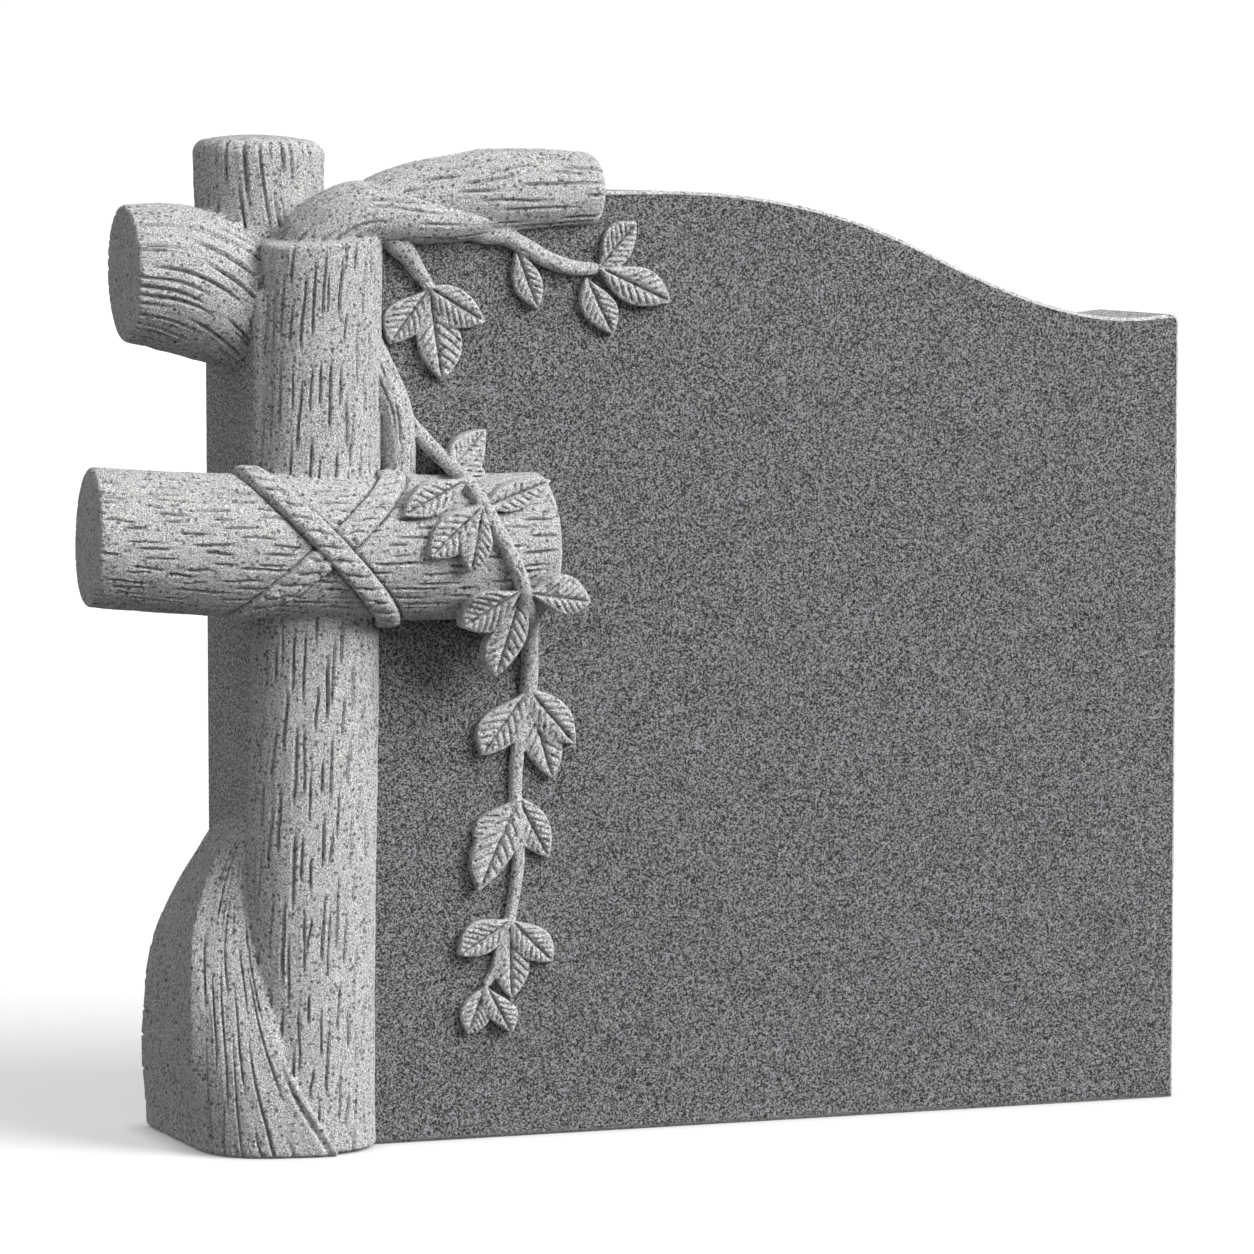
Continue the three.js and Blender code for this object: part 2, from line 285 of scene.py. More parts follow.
@dataclass(frozen=True)
class Bark:
    """Strokes of a narrow chisel that stand for bark, staggered in rows along a limb."""

    spacing: float = 9.5
    stroke: Spot = (34.0, 84.0)
    gap: Spot = (8.0, 34.0)
    width: float = 4.2
    depth: float = 4.4
    waver: float = 1.4
    lean: float = 0.0
    lip: float = 0.6
    swell: float = 0.5
    seed: int = 1

    # The map's cell, the fewest cells that a stroke is cut over, and how far off its line it is
    CELL = 0.6
    SHORTEST = 4
    STROKE_REACH = 4.0
    # How far a stroke strays off its lane, as a share of it, and its size beside the largest
    STRAY = 0.3
    FAINTEST = 0.65
    # How fast a stroke deepens at its start and runs out at its end
    TAPER = (5.0, 3.0)
    # Its width at the ends as a share, what the taper adds to that, and how hollow its sides are
    WIDTHS = (0.55, 0.45)
    HOLLOW = 0.75
    # How far beyond the stroke's edge its lip stands, and how broad the lip is
    LIP_PLACE = (0.6, 0.8)
    # The swellings: waves round the limb, how fast they wander along it, and how far
    WAVES = (3, 5, 8, 13)
    PACE = (0.006, 0.02)
    WANDER = 1.5

    def map(self, length: float, girth: float) -> np.ndarray:
        """The depth of the strokes over a limb unrolled flat.

        Args:
            length: how long the limb is.
            girth: how far it is round it.

        Returns:
            Depths in millimetres, by rows along the limb and columns round it.
        """
        rows, columns = (max(int(size / self.CELL), 8) for size in (length, girth))
        depths = np.zeros((rows, columns), np.float32)
        rng = np.random.default_rng(self.seed)
        lanes = max(int(girth / self.spacing), 3)
        for lane in range(lanes):
            place = rng.uniform(-self.stroke[1], 0)
            while place < length:
                size = rng.uniform(*self.stroke)
                middle = (lane + 0.5 + rng.uniform(-self.STRAY, self.STRAY)) * girth / lanes
                drift = rng.uniform(-1, 1) * self.waver + self.lean * size
                curl = rng.uniform(-1, 1) * self.waver
                scale = rng.uniform(self.FAINTEST, 1.0)
                self.cut(depths, (place, size), (middle, drift, curl), scale)
                place += size + rng.uniform(*self.gap)
        return depths + self.swelling(rows, columns, rng)

    def cut(self, depths: np.ndarray, span: Spot, line: Point, scale: float) -> None:
        """Cuts one stroke into a map.

        Args:
            depths: the map that it is cut into.
            span: where along the limb it starts, and its length.
            line: where round the limb it lies, how far it drifts, and how far it curls.
            scale: its depth and width as a share of the usual ones.
        """
        start, size = span
        first, last = int(start / self.CELL), int((start + size) / self.CELL)
        rows = np.arange(max(first, 0), min(last, len(depths)))
        if rows.size < self.SHORTEST:
            return
        t = (rows * self.CELL - start) / size
        taper = np.clip(np.minimum(t * self.TAPER[0], (1 - t) * self.TAPER[1]), 0, 1)[:, None]
        centre = line[0] + line[1] * (t - 0.5) + line[2] * np.sin(t * math.tau)
        cells = int(self.STROKE_REACH / self.CELL) + 1
        column = np.round(centre / self.CELL).astype(int)[:, None] + np.arange(-cells, cells + 1)
        off = np.abs(column * self.CELL - centre[:, None])
        half = self.width * scale * (self.WIDTHS[0] + self.WIDTHS[1] * taper) / 2
        groove = self.depth * scale * taper * np.clip(1 - off / half, 0, 1) ** self.HOLLOW
        beyond, broad = self.LIP_PLACE
        lip = self.lip * taper * np.exp(-(((off - half - beyond) / broad) ** 2)) * (off > half)
        column %= depths.shape[1]
        here = depths[rows[:, None], column]
        depths[rows[:, None], column] = np.where(groove > 0, np.maximum(here, groove), here - lip)

    def swelling(self, rows: int, columns: int, rng: np.random.Generator) -> np.ndarray:
        """Low, long swellings left between the strokes.

        Args:
            rows: rows of the map.
            columns: columns of the map.
            rng: where the random numbers come from.

        Returns:
            Their depth, which goes round the limb without a seam.
        """
        s = np.arange(rows)[:, None] * self.CELL
        a = np.arange(columns)[None] * math.tau / columns
        depth = np.zeros((rows, columns), np.float32)
        for waves in self.WAVES:
            phase = rng.uniform(0, math.tau)
            bend = rng.uniform(0, math.tau)
            pace = rng.uniform(*self.PACE)
            wander = self.WANDER * np.sin(pace * s * math.pi + bend)
            depth += np.sin(waves * a + phase + wander) / len(self.WAVES)
        return depth * self.swell


def sample(depths: np.ndarray, along: np.ndarray, round_it: np.ndarray) -> np.ndarray:
    """Reads a bark map between its cells.

    Args:
        depths: the map.
        along: place along the limb, in cells.
        round_it: place round the limb, in cells, which wraps.

    Returns:
        The depth at each place.
    """
    rows, columns = depths.shape
    along = np.clip(along, 0, rows - 1.001)
    row, column = along.astype(np.int32), np.floor(round_it).astype(np.int32)
    s, a = along - row, round_it - column
    column %= columns
    beside = (column + 1) % columns
    upper = depths[row, column] * (1 - a) + depths[row, beside] * a
    lower = depths[row + 1, column] * (1 - a) + depths[row + 1, beside] * a
    return upper * (1 - s) + lower * s


@dataclass(frozen=True)
class Limb:
    """A log, bough, rope or stem: a bent tube whose half width and half depth change on the way."""

    path: tuple[Point, ...]
    wide: tuple[float, ...]
    deep: tuple[float, ...] = ()
    rim: float = 4.0
    slant: Spot = (0.0, 0.0)
    dome: float = 0.0
    bark: Optional[Bark] = None
    strand: Point = (0.0, 0.0, 0.0)
    facing: tuple[Point, ...] = ()
    twist: Spot = (0.0, 0.0)
    lead: Spot = (0.0, 0.0)
    moat: float = 0.0
    square: float = 2.0

    # How many straight pieces stand for the bend between two points of the path
    PIECES = 6
    # The pairs of knots that each level of a Catmull-Rom pyramid blends between
    PYRAMID = (((0, 1), (1, 2), (2, 3)), ((0, 2), (1, 3)), ((1, 2),))
    # How far from the plain surface the cuts are worked out
    RELIEF_REACH = 3 * STEP + 3
    # A rope's lay at its front and how fast it fades to the back, and its grooves' half width
    LAY_FADE = (3.2, 2.4)
    LAY_WIDTH = 2.2

    def spine(self) -> tuple[np.ndarray, np.ndarray]:
        """The centre line as short straight pieces.

        Returns:
            Its points, and for each of them the half width and half depth.
        """
        p = np.array(self.path, float)
        p = np.vstack([2 * p[0] - p[1], p, 2 * p[-1] - p[-2]])
        sizes = np.array([self.wide, self.deep or self.wide], float).T
        points, radii = [], []
        for k in range(len(self.path) - 1):
            for t in np.arange(self.PIECES) / self.PIECES:
                points.append(self.bend(p[k : k + 4], t))
                radii.append(sizes[k] * (1 - t) + sizes[k + 1] * t)
        return np.array([*points, p[-2]]), np.array([*radii, sizes[-1]])

    @staticmethod
    def bend(p: np.ndarray, t: float) -> np.ndarray:
        """A point between the second of four points and the third.

        Args:
            p: the four points.
            t: the share of the way.

        Returns:
            The point.
        """
        steps = np.sqrt(np.linalg.norm(np.diff(p, axis=0), axis=1))
        knots = np.concatenate([[0], np.cumsum(steps)])
        at = knots[1] + t * (knots[2] - knots[1])
        rows = list(p)
        for level in Limb.PYRAMID:
            rows = [
                rows[i] + (rows[i + 1] - rows[i]) * (at - knots[low]) / (knots[high] - knots[low])
                for i, (low, high) in enumerate(level)
            ]
        return rows[0]

    def carve(self, block: Block, soft: float) -> None:
        """Adds the limb to a block.

        Args:
            block: the block that it is added to.
            soft: how far its fillet reaches.
        """
        points, radii = self.spine()
        reach = radii.max() + REACH
        facing = self.facing or ((0.0, -1.0, 0.0),) * len(self.path)
        window = block.window(points.min(0) - reach, points.max(0) + reach)
        nearest = np.full(window.shape, FAR**4, np.float32)
        place = [np.zeros(window.shape, np.float32) for _ in range(3)]
        run = 0.0
        last = len(points) - 2
        for k, (start, end) in enumerate(zip(points[:-1], points[1:])):
            part = window.inner(np.minimum(start, end) - reach, np.maximum(start, end) + reach)
            size = np.linalg.norm(end - start)
            ahead = (end - start) / size
            point = min((k + self.PIECES // 2) // self.PIECES, len(facing) - 1)
            across = np.cross(ahead, facing[point])
            across /= np.linalg.norm(across)
            front = np.cross(across, ahead)
            off = [part.x - start[0], part.y - start[1], part.z - start[2]]
            t = sum(o * float(d) for o, d in zip(off, ahead))
            t = np.clip(t, None if k == 0 else 0, None if k == last else size)
            off = [o - t * float(d) for o, d in zip(off, ahead)]
            gap = sum(o * o for o in off)
            better = gap < nearest[part.slices]
            nearest[part.slices][better] = gap[better]
            u = sum(o * float(d) for o, d in zip(off, across))
            v = sum(o * float(d) for o, d in zip(off, front))
            for held, new in zip(place, (t + run, u, v)):
                held[part.slices][better] = new[better]
            run += size
        distance = self.distance(np.sqrt(nearest), place, run, radii)
        block.join(window, distance, soft, self.moat)

    def distance(self, radial: np.ndarray, place: list[np.ndarray], length: float,
                 radii: np.ndarray) -> np.ndarray:
        """The limb's signed distance at each node.

        Args:
            radial: how far each node lies from the centre line.
            place: how far along the limb it lies, and how far off it across and in front.
            length: the limb's length.
            radii: half width and half depth at evenly spaced places.

        Returns:
            The distance, cut off where it no longer matters.
        """
        middle = (place[0] > REACH) & (place[0] < length - REACH)
        deep_inside = (radial < radii.min() - REACH) & middle
        result = np.where(deep_inside, -REACH, FAR).astype(np.float32)
        near = (radial < radii.max() + REACH) & ~deep_inside
        radial, along, u, v = (values[near] for values in (radial, *place))
        spots = np.linspace(0, length, len(radii))
        wide, deep = (np.interp(along, spots, size) for size in radii.T)
        angle = np.arctan2(u, v)
        share = (np.abs(np.sin(angle)) / wide) ** self.square
        share = share + (np.abs(np.cos(angle)) / deep) ** self.square
        reach = share ** (-1 / self.square)
        side = radial - reach
        end = length + self.slant[0] * u + self.slant[1] * v
        end = end + self.dome * (1 - np.clip(radial / reach, 0, 1) ** 2)
        cap = np.maximum(self.lead[0] * u + self.lead[1] * v - along, along - end)
        part = along / length
        angle = angle + self.twist[0] * (1 - part) ** 2 + self.twist[1] * part**2
        side += self.relief(side, along, angle, length, radii)
        result[near] = round_cut(side, cap, self.rim)
        return result

    def relief(self, side: np.ndarray, along: np.ndarray, angle: np.ndarray, length: float,
               radii: np.ndarray) -> np.ndarray:
        """How deep the bark's strokes or the rope's lay are cut at each node.

        Args:
            side: how far outside the plain limb each node lies.
            along: how far along the limb it lies.
            angle: how far round it, from the front.
            length: the limb's length.
            radii: half width and half depth at evenly spaced places.

        Returns:
            The depth of the cuts.
        """
        depth = np.zeros_like(side)
        near = np.abs(side) < self.RELIEF_REACH
        if self.bark:
            depths = self.bark.map(length, math.tau * radii.mean())
            turn = (angle[near] / math.tau + 0.5) * depths.shape[1]
            depth[near] = sample(depths, along[near] / Bark.CELL, turn)
        pitch, sink, lean = self.strand
        if pitch:
            phase = (along[near] + lean * angle[near]) / pitch
            off = np.abs(phase - np.round(phase)) * pitch
            fade = np.clip(self.LAY_FADE[0] - np.abs(angle[near]) * self.LAY_FADE[1], 0, 1)
            depth[near] += sink * fade * np.clip(1 - off / self.LAY_WIDTH, 0, 1)
        return depth


@dataclass(frozen=True)
class Slab:
    """The upright slab with its serpentine top: polished in front, sawn at its other sides."""

    width: float = 900.0
    depth: float = 170.0
    chamfer: float = 3.0
    corner: float = 7.0
    shoulder: Point = (0.0, 785.0, 0.42)
    peak_from: Point = (330.0, 860.0, 0.0)
    peak_to: Point = (380.0, 860.0, 0.0)
    fall: Point = (640.0, 805.0, -0.476)
    dip: Point = (850.0, 740.0, 0.0)
    right: float = 743.0
    upturn: float = 0.1
    parts: int = 24
    corner_parts: int = 6

    def top(self) -> np.ndarray:
        """The serpentine top, as a cubic from knot to knot.

        Returns:
            [x, z] rows from left to right.
        """
        ends = (self.width - self.corner, self.right, self.upturn)
        knots = [self.shoulder, self.peak_from, self.peak_to, self.fall, self.dip, ends]
        rows = []
        for (x0, z0, s0), (x1, z1, s1) in zip(knots[:-1], knots[1:]):
            t = np.arange(self.parts) / self.parts
            run = x1 - x0
            z = (1 + 2 * t) * (1 - t) ** 2 * z0 + t * (1 - t) ** 2 * run * s0
            z += t * t * (3 - 2 * t) * z1 + t * t * (t - 1) * run * s1
            rows.append(np.column_stack([x0 + run * t, z]))
        return np.vstack(rows)

    def outline(self) -> np.ndarray:
        """The front outline.

        Returns:
            [x, z] rows, clockwise from the foot of the left side.
        """
        turn = np.linspace(0, math.pi / 2, self.corner_parts)
        bend = np.column_stack([np.sin(turn), np.cos(turn)]) * self.corner
        corner = bend + (self.width - self.corner, self.right - self.corner)
        return np.vstack([[0, 0], self.top(), corner, [self.width, 0]])

    def inset(self, outline: np.ndarray, by: float) -> np.ndarray:
        """The outline moved inwards.

        Args:
            outline: the outline, clockwise.
            by: how far it moves.

        Returns:
            The outline with each corner moved along its mitre.
        """
        before = outline - np.roll(outline, 1, axis=0)
        after = np.roll(outline, -1, axis=0) - outline
        normals = []
        for edge in (before, after):
            edge = edge / np.linalg.norm(edge, axis=1)[:, None]
            normals.append(np.column_stack([edge[:, 1], -edge[:, 0]]))
        mitre = normals[0] + normals[1]
        return outline + mitre * (2 * by / (mitre**2).sum(1))[:, None]

    def mesh(self) -> bpy.types.Object:
        """The slab as a closed mesh with chamfered edges.

        Returns:
            The slab's object, in metres.
        """
        outline = self.outline()
        inner = self.inset(outline, self.chamfer)
        back = self.depth - self.chamfer
        rings = [(inner, 0), (outline, self.chamfer), (outline, back), (inner, self.depth)]
        count = len(outline)
        points = np.vstack([np.insert(ring, 1, y, axis=1) for ring, y in rings])
        faces = [list(range(count))[::-1], list(range(3 * count, 4 * count))]
        for ring in range(3):
            for k in range(count):
                a, b = ring * count + k, ring * count + (k + 1) % count
                faces.append([a, b, b + count, a + count])
        return make_object("slab", points, faces)

    def hold(self, window: Window, inset: float) -> np.ndarray:
        """Signed distance to the slab's inside.

        Args:
            window: the part of a block that it is read in.
            inset: how far in from the slab's surface it starts.

        Returns:
            The distance at each node.
        """
        top = np.interp(window.x, *self.top().T) - inset
        side = np.maximum(np.maximum(inset - window.x, window.z - top), window.x - self.width)
        return np.maximum(side, np.maximum(inset - window.y, window.y - self.depth + inset))


def make_object(name: str, points: np.ndarray, faces: Sequence[Sequence[int]]) -> bpy.types.Object:
    """A mesh object from points in slab coordinates.

    Args:
        name: the object's name.
        points: its points in millimetres.
        faces: the point numbers of each face.

    Returns:
        The object, in metres from the middle of the slab's underside.
    """
    slab = Slab()
    mesh = bpy.data.meshes.new(name)
    mesh.from_pydata(((points - (slab.width / 2, slab.depth / 2, 0)) * MM).tolist(), [], faces)
    mesh.update()
    thing = bpy.data.objects.new(name, mesh)
    bpy.context.scene.collection.objects.link(thing)
    return thing


@dataclass(frozen=True)
class Cross:
    """The two barked logs, the dressed strip beside the post, and the rope that lashes them."""

    post: Limb = Limb(
        path=((50, 5, 0), (50, 5, 110), (52, 5, 270), (56, 5, 430), (60, 5, 620), (65, 6, 820)),
        wide=(59, 59, 59, 57.5, 56, 54.5),
        deep=(47, 47, 47, 46, 45, 44),
        slant=(0.12, -0.12),
        bark=Bark(seed=11, lean=0.03),
    )
    log: Limb = Limb(
        path=((-156, -12, 558), (-56, -17, 550), (55, -19, 545), (164, -16, 542), (261, -12, 542)),
        wide=(61.5, 63, 65, 65, 65),
        bark=Bark(stroke=(20, 58), spacing=8, gap=(8, 26), depth=4.2, width=3.8, waver=1, seed=5),
        lead=(0.04, 0),
    )
    web: Limb = Limb(path=((8, 4, 290), (8, 4, 772)), wide=(8, 8))
    # Each rope's upper end and foot along the log, its half width, half depth and lift
    ropes: tuple[tuple[float, float, float, float, float], ...] = (
        (120, -24, 12, 6.5, -1.5),
        (-13, 115, 11, 7.5, 0.5),
    )
    turns: int = 9
    wrap: float = 0.56
    strand: Point = (16.5, 4.6, 8.0)
    moat: float = 3.4
    square: float = 3.4
    stem_gap: float = 10.0

    def log_at(self, x: np.ndarray) -> tuple[np.ndarray, np.ndarray, np.ndarray]:
        """The log's axis and half width at places along it.

        Args:
            x: the places.

        Returns:
            The axis's Y and Z, and the half width.
        """
        along, y, z = np.array(self.log.path).T
        return tuple(np.interp(x, along, values) for values in (y, z, self.log.wide))

    def rope(self, top: float, foot: float, wide: float, deep: float, lift: float) -> Limb:
        """One rope band over the log's front.

        Args:
            top: where along the log its upper end lies.
            foot: where its lower end lies.
            wide: its half width.
            deep: its half depth.
            lift: how far its middle stands off the log.

        Returns:
            The band as a limb.
        """
        angle = math.pi * self.wrap * np.linspace(1, -1, self.turns)
        x = foot + (top - foot) * (1 + np.sin(angle)) / 2
        y, z, radius = self.log_at(x)
        reach = radius + lift
        path = np.column_stack([x, y - reach * np.cos(angle), z + reach * np.sin(angle)])
        lean = self.strand[2] * (-1 if top > foot else 1)
        return Limb(
            path=tuple(map(tuple, path)),
            wide=(wide,) * self.turns,
            deep=(deep,) * self.turns,
            strand=(*self.strand[:2], lean),
            facing=tuple((0.0, -math.cos(turn), math.sin(turn)) for turn in angle),
            moat=self.moat,
            square=self.square,
        )

    def front(self, x: np.ndarray, z: np.ndarray, raised: float | np.ndarray = 0) -> np.ndarray:
        """How far the log stands in front of the polished face.

        Args:
            x: places along the slab.
            z: heights.
            raised: how far something stands off the log there.

        Returns:
            The Y of the log's front, or of what stands off it, or nought beside it.
        """
        y, middle, radius = self.log_at(x)
        radius = radius + raised
        off = np.abs(z - middle)
        path = self.log.path
        on_log = (x >= path[0][0]) & (x <= path[-1][0]) & (off < radius)
        front = y - np.sqrt(np.maximum(radius**2 - off**2, 0))
        return np.where(on_log, np.minimum(front, 0), 0)

    def over_log(self, spot: Spot) -> bool:
        """Whether a spot on the polished face lies just above the log, where the stem swings out."""
        return 0 < spot[1] - self.log.path[3][2] - self.log.wide[3] < self.stem_gap

    def carve(self, block: Block) -> None:
        """Adds the logs, the strip beside the post and the ropes to a block.

        Args:
            block: the block that they are added to.
        """
        self.post.carve(block, soft=3)
        self.web.carve(block, soft=8)
        self.log.carve(block, soft=5)
        for sizes in self.ropes:
            self.rope(*sizes).carve(block, soft=1.5)


@dataclass(frozen=True)
class Tree:
    """The trunk stub behind the cross, with its left arm and the bough and lobe at its right."""

    stub: Limb = Limb(
        path=((44, 85, 700), (36, 85, 780), (29, 85, 850), (27.5, 85, 904)),
        wide=(40, 50, 58, 59),
        dome=7,
        rim=11,
        slant=(-0.04, 0),
        twist=(-0.7, 0),
        bark=Bark(seed=21, stroke=(50, 140), gap=(6, 24), width=4.4, depth=4.8),
    )
    arm: Limb = Limb(
        path=((-104, 60, 788), (-62, 60, 784), (-18, 62, 770), (22, 66, 749), (60, 70, 722)),
        wide=(61, 66, 64, 56, 44),
        bark=Bark(seed=23, spacing=9, stroke=(50, 130), gap=(6, 24), width=4.4, depth=4.8),
        twist=(0, -0.8),
        lead=(0.09, 0),
    )
    bough: Limb = Limb(
        path=((112, 30, 843), (146, 24, 851.5), (203, 22, 855.7), (265, 22, 859.7), (326, 22, 859.7)),
        wide=(26, 34.5, 40.7, 38.7, 34.7),
        deep=(36, 40, 46, 46, 42),
        rim=10,
        bark=Bark(seed=28, spacing=8.5, stroke=(40, 110), gap=(6, 24)),
        moat=2.4,
    )
    lobe: Limb = Limb(
        path=((38, 40, 780), (62, 22, 816), (96, 12, 838), (140, 8, 837), (190, 8, 834),
              (236, 12, 838)),
        wide=(22, 32, 31, 25, 20, 14),
        deep=(30, 40, 40, 36, 32, 26),
        bark=Bark(seed=29, spacing=9, stroke=(40, 110), gap=(8, 30)),
    )

    def carve(self, block: Block) -> None:
        """Adds the stub, the arm and the boughs to a block.

        Args:
            block: the block that they are added to.
        """
        self.stub.carve(block, soft=10)
        self.arm.carve(block, soft=12)
        self.lobe.carve(block, soft=6)
        self.bough.carve(block, soft=1.5)


@dataclass(frozen=True)
class Root:
    """The buttress root at the left of the foot, with a fold that sweeps across the post."""

    # Places by height: X of the flank's back and of its front, Y of the ridge there, Y that the
    # fold swings out to, X and Y of the fold's edge, and how far the ridge turns in
    back: Profile = (
        (0, -63), (105, -65), (150, -61), (190, -49), (225, -32), (262, -8), (285, 6), (304, 10),
    )
    side: Profile = (
        (0, -51), (100, -62), (150, -62), (200, -57), (240, -43), (270, -26), (290, -10), (304, 5),
    )
    ridge: Profile = ((0, 18), (50, 4), (100, -1), (200, 10), (250, 26), (304, 32))
    bulge: Profile = ((0, -42), (50, -37), (100, -28), (200, -8), (260, 4), (304, 18))
    edge: Profile = (
        (0, 62), (30, 44), (60, 27), (100, 10), (150, 0), (200, -8), (260, -10), (285, -5), (304, 8),
    )
    edge_front: Profile = (
        (0, -50), (30, -49), (60, -47), (100, -37), (150, -21), (200, -6), (260, 6), (304, 18),
    )
    turn_in: Profile = ((0, 12), (50, 20), (100, 30), (200, 30), (304, 12))
    height: float = 304.0
    socket: float = 14.0
    inner_back: Spot = (40.0, 150.0)
    rear: Spot = (14.0, 169.0)
    pull: float = 1.5
    parts: int = 16
    bark: Bark = Bark(seed=31, spacing=14, stroke=(60, 150), gap=(6, 20), width=4.8, depth=5, waver=3)
    rough: Bark = Bark(
        seed=37, spacing=8, stroke=(14, 40), gap=(3, 12), width=4.8, depth=4, waver=5, swell=1
    )
    low: Spot = (-80.0, -64.0)
    high: Spot = (80.0, 186.0)

    # How far it is round the fold, and how far from the surface its cuts are worked out
    GIRTH = 130.0
    RELIEF_REACH = 8.0
    # Where the fold's strokes start, as a share of the way round it, and how fast they come and go
    STROKES = (0.08, 12.0, 20.0)
    # How much the flank's chisel marks climb to the back, and how round the root's top is
    CLIMB = 0.5
    RIM = 4.0
    # Inside the slab: how far past the fold's edge it goes, and where that line starts and ends
    PAST = 1.0
    TUCK = 4.0
    INNER = 60.0
    # The bevel down the flank's rear corner
    BEVEL = 4.0

    def outline(self, z: float) -> np.ndarray:
        """The root's outline at a height, seen from above.

        Args:
            z: the height.

        Returns:
            [x, y] rows: first round the fold's front, then back inside the slab.
        """
        lines = (self.side, self.ridge, self.turn_in, self.bulge, self.edge, self.edge_front, self.back)
        side, ridge, turn_in, bulge, edge, edge_front, back = (
            float(smooth_line(line, np.array(z))) for line in lines
        )
        t = np.linspace(0, 1, self.parts)[:, None]
        a, b, c = (1 - t) ** 2, 2 * self.pull * t * (1 - t), t**2
        corners = np.array([[side, ridge], [side + turn_in, bulge], [edge, edge_front]])
        fold = (a * corners[0] + b * corners[1] + c * corners[2]) / (a + b + c)
        inside = max(edge + self.PAST, self.socket)
        inner = [[inside, edge_front + self.TUCK], [inside, self.INNER], self.inner_back, self.rear]
        end = self.rear[1]
        flank = [[back + self.BEVEL, end], [back, end - self.BEVEL], [(back + side) / 2, end / 2]]
        return np.vstack([fold, inner, flank])

    def carve(self, block: Block, soft: float) -> None:
        """Adds the root to a block.

        Args:
            block: the block that it is added to.
            soft: how far its fillet reaches.
        """
        window = block.window((*self.low, 0), (*self.high, self.height))
        result = np.full(window.shape, FAR, np.float32)
        depths = self.bark.map(self.height, self.GIRTH)
        rough = self.rough.map(self.height, 2 * self.rear[1])
        start, rise, fall = self.STROKES
        px, py = window.x[:, :, 0], window.y[:, :, 0]
        back_at = np.broadcast_to(py / Bark.CELL, (px.size, py.size))
        for k, z in enumerate(window.z.ravel()):
            distance, place = outline_distance(px, py, self.outline(z))
            share = np.clip(place / (self.parts - 1), 0, 1)
            fade = np.clip((share - start) * rise, 0, 1) * np.clip((1.0 - share) * fall, 0, 1)
            row = np.full(share.shape, z / Bark.CELL)
            depth = sample(depths, row, share * depths.shape[1]) * fade
            chipped = sample(rough, row + back_at * self.CLIMB, back_at) * (place > self.parts + 3)
            near = np.abs(distance) < self.RELIEF_REACH
            result[:, :, k] = distance + (depth + chipped) * near
        cap = window.z - self.height
        block.join(window, round_cut(result, cap, self.RIM), soft)


